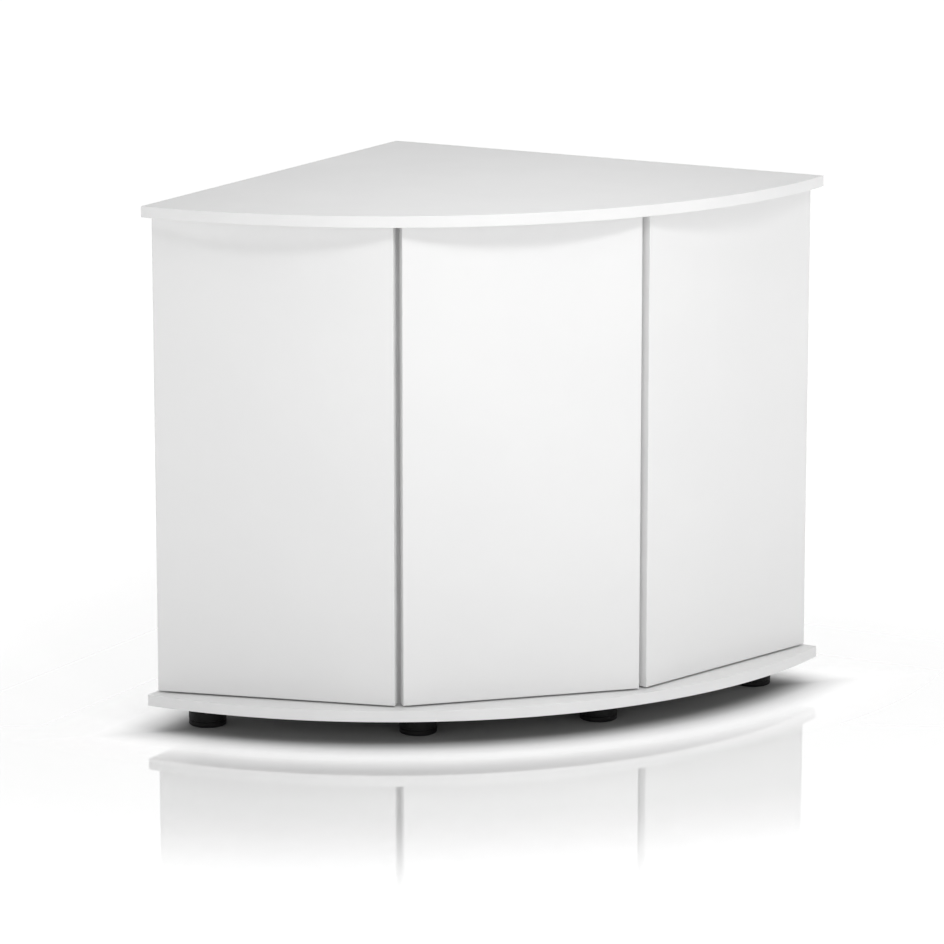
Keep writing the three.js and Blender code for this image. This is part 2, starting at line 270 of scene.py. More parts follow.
def piece(name, mesh, material, body, place=None, stands_for=(), sharp=35):
    """A finished piece of the cabinet, riding on its body."""
    if place is not None:
        mesh.transform(place)
    bmesh.ops.recalc_face_normals(mesh, faces=mesh.faces[:])
    for face in mesh.faces:
        face.smooth = True
    data = bpy.data.meshes.new(name)
    mesh.to_mesh(data)
    mesh.free()
    data.set_sharp_from_angle(angle=math.radians(sharp))
    materials = material if isinstance(material, (list, tuple)) else [material]
    for each in materials:
        data.materials.append(each)
    made = bpy.data.objects.new(name, data)
    bpy.context.scene.collection.objects.link(made)
    shading = made.modifiers.new("shading", "WEIGHTED_NORMAL")
    shading.keep_sharp = True
    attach(made, body)
    if stands_for:
        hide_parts(*stands_for)
    return made


# ---- Materials ---------------------------------------------------------------------------------------
class Shader:
    """A principled material and the few kinds of node that these finishes use."""

    def __init__(self, name, **constants):
        self.material = bpy.data.materials.new(name)
        self.material.use_nodes = True
        self.tree = self.material.node_tree
        self.surface = self.tree.nodes["Principled BSDF"]
        for socket, value in constants.items():
            self.surface.inputs[socket.replace("_", " ")].default_value = value
        self.place = self.tree.nodes.new("ShaderNodeTexCoord").outputs["Object"]

    def noise(self, scale, detail=2.0, roughness=0.5, stretch=None):
        """Noise with this many features to the metre, stretched by the factors in stretch."""
        node = self.tree.nodes.new("ShaderNodeTexNoise")
        node.inputs["Scale"].default_value = scale
        node.inputs["Detail"].default_value = detail
        node.inputs["Roughness"].default_value = roughness
        source = self.place
        if stretch:
            mapping = self.tree.nodes.new("ShaderNodeMapping")
            mapping.inputs["Scale"].default_value = stretch
            self.tree.links.new(source, mapping.inputs["Vector"])
            source = mapping.outputs["Vector"]
        self.tree.links.new(source, node.inputs["Vector"])
        return node.outputs["Fac"]

    def cells(self, scale, stretch=(1, 1, 1)):
        node = self.tree.nodes.new("ShaderNodeTexVoronoi")
        node.inputs["Scale"].default_value = scale
        mapping = self.tree.nodes.new("ShaderNodeMapping")
        mapping.inputs["Scale"].default_value = stretch
        self.tree.links.new(self.place, mapping.inputs["Vector"])
        self.tree.links.new(mapping.outputs["Vector"], node.inputs["Vector"])
        return node.outputs["Color"]

    def spread(self, value, low, high, start=0.3, end=0.7):
        """The value, which runs from start to end, as a number from low to high."""
        node = self.tree.nodes.new("ShaderNodeMapRange")
        node.inputs["From Min"].default_value = start
        node.inputs["From Max"].default_value = end
        node.inputs["To Min"].default_value = low
        node.inputs["To Max"].default_value = high
        self.tree.links.new(value, node.inputs["Value"])
        return node.outputs["Result"]

    def ramp(self, value, *stops):
        """A colour ramp from (position, colour) stops."""
        node = self.tree.nodes.new("ShaderNodeValToRGB")
        elements = node.color_ramp.elements
        while len(elements) < len(stops):
            elements.new(0.5)
        for element, (position, colour) in zip(elements, stops):
            element.position = position
            element.color = (*colour, 1)
        self.tree.links.new(value, node.inputs["Fac"])
        return node.outputs["Color"]

    def drive(self, socket, value):
        self.tree.links.new(value, self.surface.inputs[socket])

    def bump(self, value, strength, distance):
        """Raises the surface by the value, on top of the bump that is already there."""
        node = self.tree.nodes.new("ShaderNodeBump")
        node.inputs["Strength"].default_value = strength
        node.inputs["Distance"].default_value = distance
        self.tree.links.new(value, node.inputs["Height"])
        before = self.surface.inputs["Normal"].links
        if before:
            self.tree.links.new(before[0].from_socket, node.inputs["Normal"])
        self.drive("Normal", node.outputs["Normal"])


def melamine():
    """Satin white coated board: faint mottling, and the fine pearl of the pressed coating."""
    shader = Shader("white_melamine", Specular_IOR_Level=0.42, Coat_Weight=0.04, Coat_Roughness=0.3)
    cloud = shader.noise(3.5, 4, 0.6)
    pearl = shader.noise(1400, 2, 0.5)
    ripple = shader.noise(60, 2, 0.5)
    tones = ((0.3, (0.79, 0.79, 0.79)), (0.7, (0.81, 0.81, 0.808)))
    shader.drive("Base Color", shader.ramp(cloud, *tones))
    shader.drive("Roughness", shader.spread(shader.noise(9, 5, 0.65), 0.4, 0.52))
    shader.bump(ripple, 0.03, 1 * MM)
    shader.bump(pearl, 0.08, 0.05 * MM)
    return shader.material


def edge_band():
    """The plastic strip on a board's edges: smoother than the coated faces, with faint trimming marks."""
    shader = Shader("white_edge_band", Specular_IOR_Level=0.48)
    marks = shader.noise(900, 2, 0.5, (0.15, 0.15, 1))
    tones = ((0.3, (0.785, 0.785, 0.785)), (0.7, (0.81, 0.81, 0.808)))
    shader.drive("Base Color", shader.ramp(shader.noise(12, 3), *tones))
    shader.drive("Roughness", shader.spread(shader.noise(40, 4, 0.6), 0.32, 0.44))
    shader.bump(marks, 0.06, 0.05 * MM)
    return shader.material


def chipboard():
    """Raw chipboard where a board is cut: packed flakes of wood."""
    shader = Shader("raw_chipboard", Roughness=0.9, Specular_IOR_Level=0.2)
    flakes = shader.cells(420, (1, 1, 2.2))
    tones = ((0.1, (0.20, 0.12, 0.06)), (0.45, (0.42, 0.28, 0.15)), (0.9, (0.62, 0.46, 0.28)))
    shader.drive("Base Color", shader.ramp(flakes, *tones))
    shader.bump(flakes, 0.5, 0.4 * MM)
    return shader.material


def moulded(name, dark, light, roughness, gloss=0.45):
    """Moulded plastic with a fine spark-eroded grain. dark and light are the limits of its grey."""
    shader = Shader(name, Specular_IOR_Level=gloss)
    tones = ((0.3, (dark, dark, dark)), (0.7, (light, light, light)))
    shader.drive("Base Color", shader.ramp(shader.noise(70, 3), *tones))
    low, high = roughness
    shader.drive("Roughness", shader.spread(shader.noise(160, 3), low, high))
    shader.bump(shader.noise(900, 2), 0.15, 0.08 * MM)
    return shader.material


def plated_steel():
    """Nickel-plated pressed steel, drawn along its length and a little smeared by handling."""
    shader = Shader("nickel_steel", Metallic=1.0)
    smears = shader.noise(180, 5, 0.6)
    drawn = shader.noise(900, 2, 0.5, (1, 1, 0.1))
    tones = ((0.3, (0.61, 0.605, 0.60)), (0.75, (0.70, 0.695, 0.685)))
    shader.drive("Base Color", shader.ramp(smears, *tones))
    shader.drive("Roughness", shader.spread(smears, 0.22, 0.34))
    shader.bump(drawn, 0.08, 0.05 * MM)
    return shader.material


def cast_zinc():
    """Die-cast zinc, greyer and rougher than the plated steel."""
    shader = Shader("cast_zinc", Metallic=1.0)
    tones = ((0.3, (0.42, 0.42, 0.425)), (0.7, (0.56, 0.56, 0.565)))
    shader.drive("Base Color", shader.ramp(shader.noise(300, 4), *tones))
    shader.drive("Roughness", shader.spread(shader.noise(500, 3), 0.38, 0.58))
    shader.bump(shader.noise(1500, 2), 0.2, 0.06 * MM)
    return shader.material


WHITE = melamine()
BANDING = edge_band()
CHIPBOARD = chipboard()
STEEL = plated_steel()
ZINC = cast_zinc()
FOOT_BLACK = moulded("black_plastic", 0.004, 0.0072, (0.5, 0.65), 0.25)
PALE_PLASTIC = moulded("pale_grey_plastic", 0.60, 0.66, (0.4, 0.52))
GREY_PLASTIC = moulded("grey_plastic", 0.22, 0.275, (0.4, 0.5))


# ---- Boards ------------------------------------------------------------------------------------------
def board_core(outline, low, high):
    """A board in x and y between two heights. outline gives its edge at any inset."""
    inset = BAND + BAND_JOINT
    faces = ((inset + CORE_EASE, low), (inset + CORE_EASE, high))
    sides = ((inset, low + CORE_EASE), (inset, high - CORE_EASE))
    rings = (faces[0], *sides, faces[1])
    return loft([[(x, y, height) for x, y in outline(step)] for step, height in rings])


def board_band(outline, low, high):
    """The band round a board: flat inside, and rounded to both faces outside."""
    lower = arc(BAND_ROUND, low + BAND_ROUND, BAND_ROUND, 270, 180, 6)
    upper = arc(BAND_ROUND, high - BAND_ROUND, BAND_ROUND, 180, 90, 6)
    section = [(BAND, low), *lower, *upper, (BAND, high)]
    return loft([[(x, y, height) for x, y in outline(step)] for step, height in section], closed=True)


def quarter_round(inset):
    """The plates' outline at this inset: the back corner, then the curved edge from tip to tip."""
    reach = PLATE_RADIUS - inset
    tip = math.radians(45) - math.asin(inset / reach)
    bearings = [-tip + 2 * tip * i / ARC_STEPS for i in range(ARC_STEPS + 1)]
    curve = [(reach * math.sin(a), BACK_CORNER.y - reach * math.cos(a)) for a in bearings]
    return [(0, BACK_CORNER.y - inset * math.sqrt(2)), *curve]


def plate(name):
    """The base or the top: a quarter-round board and its band."""
    low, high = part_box(name)
    piece(name, board_core(quarter_round, low.z, high.z), WHITE, CARCASS, stands_for=(name,))
    piece(f"{name}_band", board_band(quarter_round, low.z, high.z), BANDING, CARCASS)


def cup_heights(door):
    """How high the middles of the door's cups are."""
    boxes = [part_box(f"{door}_hinge_{level}_cup") for level in LEVELS]
    return [(low.z + high.z) / 2 for low, high in boxes]


def door_panel(door):
    """A door: coated board with the pockets of its two hinge cups, and a band on all four edges."""
    low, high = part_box(f"{door}_door")
    along, inward = door_axes(door)
    place = columns(along, UP, inward, door_edge_point(door))

    def outline(inset):
        x0, x1 = inset, DOOR_WIDTH - inset
        z0, z1 = low.z + inset, high.z - inset
        return [(x0, z0), (x1, z0), (x1, z1), (x0, z1)]

    pocket = [(CUP_POCKET, BOARD - CUP_DEPTH - GAP), (CUP_POCKET, BOARD + OVERCUT)]
    pockets = [moved(turned(pocket), Matrix.Translation((CUP_FROM_EDGE, z, 0))) for z in cup_heights(door)]
    core = carved(board_core(outline, 0, BOARD), *pockets)
    body = f"{door}_door"
    piece(f"{door}_door", core, WHITE, body, place, (f"{door}_door",))
    piece(f"{door}_door_band", board_band(outline, 0, BOARD), BANDING, body, place)


def cam_nodes(upright):
    return sorted(node for node in frame["nodes"] if node.startswith(f"{upright}_cam_"))


def cam_place(node, outward):
    """The middle of a cam lock's face, with z along outward."""
    low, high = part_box(node)
    face = (low + high) / 2 + outward * CAM_DEPTH / 2
    return columns(UP.cross(outward), UP, outward, face)


def cam_pocket(node, outward, place):
    """The cam lock's pocket, in the frame of the upright's own place."""
    shape = turned([(CAM_RADIUS + GAP, -CAM_DEPTH - GAP), (CAM_RADIUS + GAP, OVERCUT)])
    return moved(shape, place.inverted() @ cam_place(node, outward))


def colour_cut_edges(mesh, inside):
    """Raw chipboard on the faces that look across the board where inside says so."""
    mesh.normal_update()
    for face in mesh.faces:
        if abs(face.normal.y) < 0.5 and inside(face.calc_center_median()):
            face.material_index = 1


def wall(side):
    """A side wall: mitred and banded in front, with a window for hoses and leads."""
    low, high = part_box(f"{side}_wall")
    place = wall_frame(side)
    inner = WALL_INSET + BOARD
    start = WALL_INSET if side == "left" else inner + GAP

    def front_end(y, back):
        """How far the mitred front reaches at y, this far behind its face."""
        depth = BOARD + WALL_TO_DOOR + back
        return FRONT_RADIUS - (depth + y * math.cos(UPRIGHT_TURN)) / math.sin(UPRIGHT_TURN)

    def front_edge(back):
        return [(front_end(y, back), y) for y in (WALL_INSET, inner)]

    outline = [(start, WALL_INSET), *front_edge(BAND + BAND_JOINT), (start, inner)]
    board = prism(outline, low.z, high.z, CORE_EASE, 1)
    x0, z0 = WINDOW["from"], WINDOW["bottom"]
    x1, z1 = x0 + WINDOW["width"], z0 + WINDOW["height"]
    hole = prism(rounded_rectangle(x0, z0, x1, z1, WINDOW["corner"]), -inner - OVERCUT, OVERCUT)
    hole.transform(Matrix.Rotation(math.pi / 2, 4, "X"))
    outward = (place.to_3x3() @ Vector((0, 1, 0))).normalized()
    cams = cam_nodes(f"{side}_wall")
    board = carved(board, hole, *[cam_pocket(node, outward, place) for node in cams])
    colour_cut_edges(board, lambda c: x0 - OVERCUT < c.x < x1 + OVERCUT and z0 - OVERCUT < c.z < z1 + OVERCUT)
    piece(f"{side}_wall", board, [WHITE, CHIPBOARD], CARCASS, place, (f"{side}_wall",))
    strip = prism(front_edge(0) + front_edge(BAND)[::-1], low.z, high.z, BAND_EASE)
    piece(f"{side}_wall_band", strip, BANDING, CARCASS, place)
    for node in cams:
        cam_lock(node, outward)


def partition(side):
    """An upright behind a joint of the front, banded at its front edge."""
    low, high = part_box(f"{side}_partition")
    place = partition_frame(side)
    front = FRONT_RADIUS - PARTITION_STOP
    half = BOARD / 2
    band = BAND + BAND_JOINT
    board = block((front - PARTITION_DEPTH, -half, low.z), (front - band, half, high.z), CORE_EASE, 1)
    outward = (place.to_3x3() @ Vector((0, -1, 0))).normalized()
    cams = cam_nodes(f"{side}_partition")
    board = carved(board, *[cam_pocket(node, outward, place) for node in cams])
    piece(f"{side}_partition", board, WHITE, CARCASS, place, (f"{side}_partition",))
    strip = block((front - BAND, -half, low.z), (front, half, high.z), BAND_EASE)
    piece(f"{side}_partition_band", strip, BANDING, CARCASS, place)
    for node in cams:
        cam_lock(node, outward)


# ---- Small metal parts -------------------------------------------------------------------------------
def cross_cutter(reach, width, depth):
    """The cutter of a cross recess, open upwards from z 0."""
    bars = [(reach, width / 2), (width / 2, reach)]
    return [block((-x, -y, -depth), (x, y, OVERCUT)) for x, y in bars]


def cam_lock(node, outward):
    """A turned zinc cam, flush with the upright, with a cross recess and a ring pressed into its face."""
    ring = [(0.74, 0), (0.78, -0.03), (0.84, -0.03), (0.88, 0)]
    rim = [(CAM_RADIUS * r, CAM_RADIUS * h) for r, h in ring]
    edge = [(CAM_RADIUS - 0.4 * MM, 0), (CAM_RADIUS, -0.4 * MM), (CAM_RADIUS, -CAM_DEPTH)]
    disc = turned([*rim, *edge])
    disc = carved(disc, *cross_cutter(CAM_RADIUS * 0.62, 1.7 * MM, 2 * MM))
    piece(node, disc, ZINC, CARCASS, cam_place(node, outward), (node,))


def screw_master(radius, height):
    """A countersunk screw head with a cross recess, its rim at z 0."""
    dome = arc(0, 0, 1, 90, 20, 4)
    top = [(max(x, 0.12) * radius, y * height) for x, y in dome]
    head = turned([*top, (radius, 0), (radius * 0.7, -height)], steps=28)
    head = carved(head, *cross_cutter(radius * 0.55, radius * 0.24, height * 0.4))
    data = bpy.data.meshes.new("screw_head")
    head.to_mesh(data)
    head.free()
    return data


SMALL_SCREW = screw_master(3.4 * MM, 0.9 * MM)
LARGE_SCREW = screw_master(4.2 * MM, 1.1 * MM)


def screws(master, places):
    """Heads at several places, as one mesh."""
    heads = []
    for place in places:
        head = bmesh.new()
        head.from_mesh(master)
        heads.append(moved(head, place))
    return merged(*heads)


def ear_outline():
    """One wing of a hinge cup, from the cup's rim to its rounded end."""
    half = CUP_WING["half_width"]
    end = CUP_WING["half_length"] - half
    rim = CUP_RIM - 0.6 * MM
    lean = math.degrees(math.asin(half / rim))
    return [*arc(0, end, half, 0, 180, 12), *arc(0, 0, rim, 90 + lean, 90 - lean, 8)]


def hinge_cup(door, level, body):
    """The pressed cup in the door, its two wings and their screws."""
    name = f"{door}_hinge_{level}"
    low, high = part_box(f"{name}_cup")
    along, inward = door_axes(door)
    middle = door_edge_point(door) + along * CUP_FROM_EDGE + UP * (low.z + high.z) / 2
    place = columns(along, UP, inward, middle)
    face = BOARD + GAP
    top = face + CUP_WING["thickness"]
    floor = BOARD - CUP_DEPTH
    heel, edge, bend = CUP_BENDS["heel"], CUP_BENDS["rim"], CUP_BENDS["hollow"]
    heel_curve = arc(CUP_RADIUS - heel, floor + 1.2 * MM, heel, 290, 360, 4)
    outside = [(CUP_RADIUS - 1.4 * MM, floor), *heel_curve]
    rim = [(CUP_RADIUS, face), (CUP_RIM, face), *arc(CUP_RIM - edge, top - edge, edge, 0, 90, 4)]
    lip = arc(CUP_HOLLOW + edge, top - edge, edge, 90, 180, 4)
    hollow = arc(CUP_HOLLOW - bend, floor + CUP_SHEET + bend, bend, 0, -90, 5)
    cup = turned([*outside, *rim, *lip, *hollow])
    ears = [prism([(x, y * way) for x, y in ear_outline()], face, top, 0.35 * MM) for way in (1, -1)]
    piece(f"{name}_cup", merged(cup, *ears), STEEL, body, place, (f"{name}_cup",))
    heads = [Matrix.Translation((0, way * CUP_WING["screw"], top)) for way in (1, -1)]
    piece(f"{name}_cup_screws", screws(SMALL_SCREW, heads), ZINC, body, place)


def hinge_pin(door, level, body):
    """The pin across the cup, with a riveted head at each end."""
    name = f"{door}_hinge_{level}_pin"
    low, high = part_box(name)
    length = high.z - low.z
    rivet = PIN_RADIUS + 0.2 * MM
    head = [(0.6 * MM, 0), (rivet, 0.4 * MM), (rivet, 1.2 * MM), (PIN_RADIUS, 1.5 * MM)]
    profile = head + [(r, length - h) for r, h in reversed(head)]
    middle = (low + high) / 2
    place = Matrix.Translation((middle.x, middle.y, low.z))
    piece(name, turned(profile, steps=24), STEEL, body, place, (name,))


def strip_outline(points, thickness, end_steps=10):
    """The outline of a bent strip along three points, with an eye's round end at the first."""
    start, bend, end = points
    first = (bend - start).normalized()
    second = (end - bend).normalized()
    across = [Vector((-way.y, way.x)) * thickness / 2 for way in (first, second)]
    mitre = across[0] + across[1]
    mitre *= thickness**2 / 2 / mitre.length_squared
    lean = math.degrees(math.atan2(first.y, first.x))
    open_half = math.degrees(math.asin(thickness / 2 / EYE_RADIUS))
    eye = arc(start.x, start.y, EYE_RADIUS, lean + open_half, lean + 360 - open_half, 2 * end_steps)
    return [*eye, tuple(bend - mitre), tuple(end - across[1]), tuple(end + across[1]), tuple(bend + mitre)]


def arm_nose(door, seat):
    """The arm's bent strip in the door's frame, bored for the pin."""
    to_door = door_frame(door).inverted() @ upright_frame(door)
    root = (to_door @ Vector((ARM["start"] + NOSE["root"], seat + ARM["height"] / 2, 0))).to_2d()
    pivot = Vector((PIVOT_FROM_EDGE, PIVOT_DEPTH))
    bend = pivot + Vector((math.cos(NOSE["angle"]), math.sin(NOSE["angle"]))) * NOSE["length"]
    half = NOSE["width"] / 2
    strip = prism(strip_outline((pivot, bend, root), NOSE["thickness"]), -half, half, 0.25 * MM, 2)
    bore = turned([(PIN_RADIUS + GAP, -2 * half), (PIN_RADIUS + GAP, 2 * half)], steps=24)
    return carved(strip, moved(bore, Matrix.Translation((*pivot, 0))))


def arm_channel(seat):
    """The arm's folded channel in the upright's frame: web, two cheeks, tail and a stiffening ridge."""
    x0, x1 = ARM["start"], ARM["start"] + ARM["length"]
    top = seat + ARM["height"]
    wide = ARM["width"] / 2
    sheet = ARM["sheet"]
    web = block((x0, top - sheet, -wide), (x1, top, wide), 0.4 * MM)
    under = top - 0.2 * MM
    back = x1 - 1 * MM
    cheeks = []
    for low, high in ((-wide, -wide + sheet), (wide - sheet, wide)):
        cheeks.append(block((x0 + 1 * MM, seat, low), (back, under, high), 0.3 * MM))
    across = wide - sheet / 2
    tail = block((x1 - 2 * sheet, seat, -across), (back, top - 1 * MM, across), 0.3 * MM)
    middle = (x0 + x1) / 2
    half_long, half_wide = 5 * MM, 1.6 * MM
    ridge_low = (middle - half_long, under, -half_wide)
    ridge_high = (middle + half_long, top + 0.5 * MM, half_wide)
    return merged(web, *cheeks, tail, block(ridge_low, ridge_high, 0.3 * MM))


def hinge_arm(door, level, upright_face):
    """The arm on the upright. Its nose ends in the eye round the pin, and two screws adjust it."""
    name = f"{door}_hinge_{level}_arm"
    low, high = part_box(name)
    lift = Matrix.Translation((0, 0, (low.z + high.z) / 2))
    seat = upright_face + RAIL["height"] + 2 * GAP
    nose = moved(arm_nose(door, seat), door_frame(door) @ lift)
    channel = moved(arm_channel(seat), upright_frame(door) @ lift)
    piece(name, merged(nose, channel), STEEL, CARCASS, None, (name,))
    head_height = seat + ARM["height"] + 0.1 * MM
    spots = [ARM["start"] + step for step in ARM_SCREWS]
    places = [Matrix.Translation((x, head_height, 0)) @ FACING_OUT for x in spots]
    heads = screws(LARGE_SCREW, places)
    piece(f"{name}_screws", heads, ZINC, CARCASS, upright_frame(door) @ lift)


def hinge_plate(door, level, upright_face):
    """The cross-shaped mounting plate under the arm, and its two screws."""
    name = f"{door}_hinge_{level}_plate"
    low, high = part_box(name)
    place = upright_frame(door) @ Matrix.Translation((0, 0, (low.z + high.z) / 2))
    foot = upright_face + GAP
    x0, x1 = RAIL["start"], RAIL["start"] + RAIL["length"]
    half = RAIL["width"] / 2
    rail = block((x0, foot, -half), (x1, upright_face + RAIL["height"], half), 0.8 * MM)
    middle = (x0 + x1) / 2
    wide = PLATE_WING["width"] / 2
    reach = PLATE_WING["length"] / 2
    outline = rounded_rectangle(middle - wide, -reach, middle + wide, reach, 7 * MM)
    top = foot + PLATE_WING["thickness"]
    wings = moved(prism(outline, foot, top, 0.5 * MM), FACING_OUT)
    piece(name, merged(rail, wings), STEEL, CARCASS, place, (name,))
    places = [Matrix.Translation((middle, top, way * PLATE_WING["screw"])) @ FACING_OUT for way in (1, -1)]
    piece(f"{name}_screws", screws(LARGE_SCREW, places), ZINC, CARCASS, place)


def latch_housing(door):
    """The body of the push latch under the top, ribbed at its sides, with a bore for the plunger."""
    name = f"{door}_latch_housing"
    place = latch_place(door)
    low, high = latch_span()
    box_low, box_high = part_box(name)
    half = (box_high.z - box_low.z) / 2
    body = block((-half, -half, low), (half, half, high), 1.2 * MM)
    bore = turned([(LATCH_BORE, low - OVERCUT), (LATCH_BORE, low + LATCH_BORE_DEPTH)], steps=32)
    body = carved(body, bore)
    ribs = []
    for i in range(RIB["count"]):
        z = low + RIB["start"] + RIB["pitch"] * i
        for x in (half, -half):
            near = (x - RIB["height"], -half + RIB["short"], z)
            far = (x + RIB["height"], half - RIB["short"], z + RIB["width"])
            ribs.append(block(near, far, RIB["height"] / 2))
    piece(name, merged(body, *ribs), PALE_PLASTIC, CARCASS, place, (name,))


def latch_place(door):
    """The latch's axis, with z inward, from the outer face of the door."""
    along, inward = door_axes(door)
    low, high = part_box("centre_latch_plunger")
    middle = (low + high) / 2
    offset = middle.x - door_low.x
    point = door_edge_point(door) + along * offset + UP * middle.z
    return columns(along, UP, inward, point)


def latch_span():
    """How deep a latch housing starts and ends behind its door's outer face."""
    low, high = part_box("centre_latch_housing")
    return low.y - door_low.y, high.y - door_low.y


def latch_plunger(door):
    """The sprung plunger with its rounded tip."""
    name = f"{door}_latch_plunger"
    low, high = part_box("centre_latch_plunger")
    front, back = low.y - door_low.y, high.y - door_low.y
    radius = PLUNGER_RADIUS
    tip = arc(radius - 1.4 * MM, front + 1.4 * MM, 1.4 * MM, 270, 360, 6)
    waist = radius - 0.5 * MM
    neck = [(radius, front + 4 * MM), (waist, front + 4.3 * MM), (waist, front + 5.5 * MM)]
    shaft = [(radius - 0.1 * MM, front + 6 * MM), (radius - 0.1 * MM, back - 1 * MM), (radius - 1 * MM, back)]
    shape = turned([*tip, *neck, *shaft], steps=32)
    piece(name, shape, GREY_PLASTIC, f"{door}_plunger", latch_place(door), (name,))


# ---- Feet --------------------------------------------------------------------------------------------
def foot(name):
    """A moulded foot: a body with a glide snapped on below, and a recess for its screw underneath."""
    low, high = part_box(name)
    radius = (high.x - low.x) / 2
    height = high.z
    hole = [(FOOT_RECESS / 3, FOOT_RECESS), (FOOT_RECESS, FOOT_RECESS)]
    mouth = [(FOOT_RECESS + FOOT_SLOPE, FOOT_RECESS / 3), (radius - 7 * MM, 1.2 * MM)]
    inset = FOOT_SOLE["inset"]
    sole = [(radius - FOOT_SOLE["flat"], 0), *arc(radius - inset, inset, FOOT_SOLE["rounding"], 270, 355, 6)]
    neck = radius - FOOT_GROOVE["depth"]
    groove_low, groove_high = FOOT_GROOVE["low"], FOOT_GROOVE["high"]
    groove = [(radius - 0.2 * MM, groove_low), (neck, groove_low + FOOT_SLOPE), (neck, groove_high)]
    step_low, step_high = height - FOOT_STEP["low"], height - FOOT_STEP["high"]
    waist = radius - FOOT_SLOPE
    body = [(radius, groove_high + FOOT_SLOPE), (radius, step_low), (waist, step_low + FOOT_SLOPE)]
    chamfer = FOOT_STEP["chamfer"]
    flange = [(waist, step_high - FOOT_SLOPE), (radius, step_high), (radius, height - chamfer)]
    top = [(radius - chamfer, height)]
    middle = (low + high) / 2
    place = Matrix.Translation((middle.x, middle.y, 0))
    shape = turned([*hole, *mouth, *sole, *groove, *body, *flange, *top], steps=72)
    piece(name, shape, FOOT_BLACK, CARCASS, place, (name,))


# ---- Assembly ----------------------------------------------------------------------------------------
for plate_name in ("base_panel", "top_panel"):
    plate(plate_name)
for each_side in SIDES:
    wall(each_side)
    partition(each_side)
for each_door in DOORS:
    door_panel(each_door)
    face = BOARD / 2 if each_door == "centre" else WALL_INSET + BOARD
    for each_level in LEVELS:
        hinge_cup(each_door, each_level, f"{each_door}_door")
        hinge_pin(each_door, each_level, f"{each_door}_door")
        hinge_arm(each_door, each_level, face)
        hinge_plate(each_door, each_level, face)
    latch_housing(each_door)
    latch_plunger(each_door)
for node_name in sorted(frame["nodes"]):
    if node_name.endswith("_foot"):
        foot(node_name)


# ---- Studio ------------------------------------------------------------------------------------------
# Distances on the floor are from the edge of the cabinet's footprint, outward.
FLOOR_HALF = 30
# Floor colour 0.9 around the cabinet and 0.3 under its footprint: the darker floor under the cabinet is
# painted shade. The glow keeps the floor evenly white around the cabinet but stops under the footprint, which
# adds to that painted shade.
FLOOR_TONE_AND_PAINTED_SHADE = {"between": (-0.05, 0.01), "under": 0.3, "around": 0.9}
FLOOR_GLOW = {"near": (-0.01, 0.06), "strength": 0.3, "far": (0.1, 0.7), "extra": 0.13}
FLOOR_SHINE = {"in": (0.02, 0.15), "out": (0.3, 0.8), "strength": 3.0, "most": 0.74}
FLOOR_MIRROR = {"tint": 0.95, "roughness": 0.03}
# Brightness of the surround at a few heights, from the horizon (0) to overhead (1).
SURROUND = [(0, 0.6), (0.12, 1.02), (0.31, 1.02), (0.58, 0), (0.7, 0), (1, 1.72)]
LIT = Vector((0, -0.33, 0.68))  # the top of the middle door, where the lamps point
LAMP_DISTANCE = 3.0


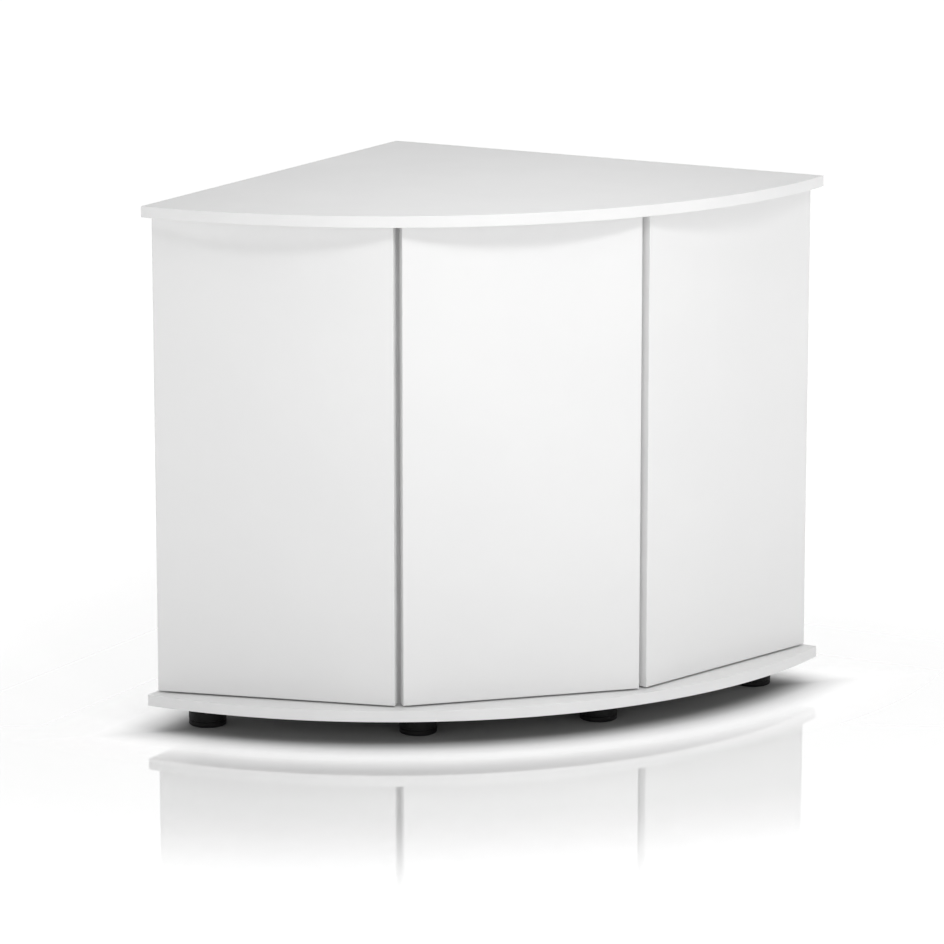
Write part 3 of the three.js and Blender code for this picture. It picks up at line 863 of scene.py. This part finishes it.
def studio_floor():
    """A white floor that glows a little, and that shines at flat angles near the cabinet. Under the cabinet
    it is painted shade: darker in colour and without glow.
    """
    half = FLOOR_HALF
    data = bpy.data.meshes.new("studio_floor")
    corners = [(-half, -half, 0), (half, -half, 0), (half, half, 0), (-half, half, 0)]
    data.from_pydata(corners, [], [(0, 1, 2, 3)])
    floor = bpy.data.objects.new("studio_floor", data)
    bpy.context.scene.collection.objects.link(floor)
    material = bpy.data.materials.new("studio_floor")
    material.use_nodes = True
    nodes, links = material.node_tree.nodes, material.node_tree.links
    nodes.clear()

    def math_node(operation, *values):
        node = nodes.new("ShaderNodeMath")
        node.operation = operation
        for socket, value in zip(node.inputs, values):
            if isinstance(value, (int, float)):
                socket.default_value = value
            else:
                links.new(value, socket)
        return node.outputs[0]

    def fade(value, start, end, low, high):
        node = nodes.new("ShaderNodeMapRange")
        node.interpolation_type = "SMOOTHSTEP"
        for socket, number in zip(("From Min", "From Max", "To Min", "To Max"), (start, end, low, high)):
            node.inputs[socket].default_value = number
        links.new(value, node.inputs["Value"])
        return node.outputs["Result"]

    place = nodes.new("ShaderNodeTexCoord").outputs["Object"]
    split = nodes.new("ShaderNodeSeparateXYZ")
    links.new(place, split.inputs[0])
    x, y = split.outputs["X"], math_node("SUBTRACT", split.outputs["Y"], BACK_CORNER.y)
    reach = math_node("SQRT", math_node("ADD", math_node("MULTIPLY", x, x), math_node("MULTIPLY", y, y)))
    beside = math_node("MULTIPLY", math_node("ADD", math_node("ABSOLUTE", x), y), math.sqrt(0.5))
    outside = math_node("MAXIMUM", math_node("SUBTRACT", reach, PLATE_RADIUS), beside)
    diffuse = nodes.new("ShaderNodeBsdfDiffuse")
    # painted shade: the floor's colour drops under the cabinet, and its glow stops there too
    white = fade(outside, *FLOOR_TONE_AND_PAINTED_SHADE["between"], FLOOR_TONE_AND_PAINTED_SHADE["under"], FLOOR_TONE_AND_PAINTED_SHADE["around"])
    links.new(white, diffuse.inputs["Color"])
    glow = nodes.new("ShaderNodeEmission")
    near = fade(outside, *FLOOR_GLOW["near"], 0, FLOOR_GLOW["strength"])
    far = fade(outside, *FLOOR_GLOW["far"], 0, FLOOR_GLOW["extra"])
    links.new(math_node("ADD", near, far), glow.inputs["Strength"])
    matt = nodes.new("ShaderNodeAddShader")
    links.new(diffuse.outputs[0], matt.inputs[0])
    links.new(glow.outputs[0], matt.inputs[1])
    mirror = nodes.new("ShaderNodeBsdfGlossy")
    mirror.inputs["Roughness"].default_value = FLOOR_MIRROR["roughness"]
    mirror.inputs["Color"].default_value = (*[FLOOR_MIRROR["tint"]] * 3, 1)
    blend = nodes.new("ShaderNodeMixShader")
    fresnel = nodes.new("ShaderNodeFresnel")
    polish = math_node("MULTIPLY", fresnel.outputs["Fac"], FLOOR_SHINE["strength"])
    polish = math_node("MINIMUM", polish, FLOOR_SHINE["most"])
    rise = math_node("MULTIPLY", polish, fade(outside, *FLOOR_SHINE["in"], 0, 1))
    shine = math_node("MULTIPLY", rise, fade(outside, *FLOOR_SHINE["out"], 1, 0))
    links.new(shine, blend.inputs["Fac"])
    links.new(matt.outputs[0], blend.inputs[1])
    links.new(mirror.outputs[0], blend.inputs[2])
    output = nodes.new("ShaderNodeOutputMaterial")
    links.new(blend.outputs[0], output.inputs["Surface"])
    data.materials.append(material)


def studio_world(levels):
    """A white surround with this brightness at each height."""
    world = bpy.data.worlds.new("studio_world")
    world.use_nodes = True
    nodes, links = world.node_tree.nodes, world.node_tree.links
    background = nodes["Background"]
    brightest = max(level for height, level in levels)
    split = nodes.new("ShaderNodeSeparateXYZ")
    links.new(nodes.new("ShaderNodeTexCoord").outputs["Generated"], split.inputs[0])
    ramp = nodes.new("ShaderNodeValToRGB")
    elements = ramp.color_ramp.elements
    while len(elements) < len(levels):
        elements.new(0.5)
    for element, (height, level) in zip(elements, levels):
        element.position = height
        element.color = (*[level / brightest] * 3, 1)
    links.new(split.outputs["Z"], ramp.inputs["Fac"])
    links.new(ramp.outputs["Color"], background.inputs["Color"])
    background.inputs["Strength"].default_value = brightest
    bpy.context.scene.world = world


def aimed(name, data, place):
    """A lamp at this place, pointed at LIT."""
    light = bpy.data.objects.new(name, data)
    bpy.context.scene.collection.objects.link(light)
    light.location = place
    light.rotation_mode = "QUATERNION"
    light.rotation_quaternion = (LIT - place).to_track_quat("-Z", "Y")


def area_light(name, place, size, power):
    data = bpy.data.lights.new(name, "AREA")
    data.shape = "DISK"
    data.size = size
    data.energy = power
    aimed(name, data, place)


def spot_light(name, place, angle, power, radius=0.3):
    data = bpy.data.lights.new(name, "SPOT")
    data.spot_size = math.radians(angle)
    data.spot_blend = 1.0
    data.shadow_soft_size = radius
    data.energy = power
    aimed(name, data, place)


def from_front(turn, rise, distance=LAMP_DISTANCE):
    """A place in front of the cabinet, turned to the right and raised by these angles."""
    turn, rise = math.radians(turn), math.radians(rise)
    level = distance * math.cos(rise)
    return LIT + Vector((level * math.sin(turn), -level * math.cos(turn), distance * math.sin(rise)))


studio_floor()
studio_world(SURROUND)
area_light("right_key", from_front(turn=28, rise=40), size=1.0, power=15)
spot_light("front_key", from_front(turn=0, rise=45), angle=22, power=99)
spot_light("left_key", from_front(turn=-35, rise=50), angle=24, power=28)

# The camera stands in front of the cabinet, a little to its left, and looks slightly down.
CAMERA_PLACE = Vector((-1.832, -6.435, 1.774))
CAMERA_YAW = math.radians(16.03)
CAMERA_PITCH = math.radians(12.34)
CAMERA_LENS = 182.3
camera = bpy.data.cameras.new("camera")
camera.lens = CAMERA_LENS
camera.sensor_width = 36
camera.clip_end = 100
camera_object = bpy.data.objects.new("camera", camera)
bpy.context.scene.collection.objects.link(camera_object)
camera_object.location = CAMERA_PLACE
camera_object.rotation_euler = (math.pi / 2 - CAMERA_PITCH, 0, -CAMERA_YAW)
bpy.context.scene.camera = camera_object
bpy.context.scene.view_settings.view_transform = "Standard"
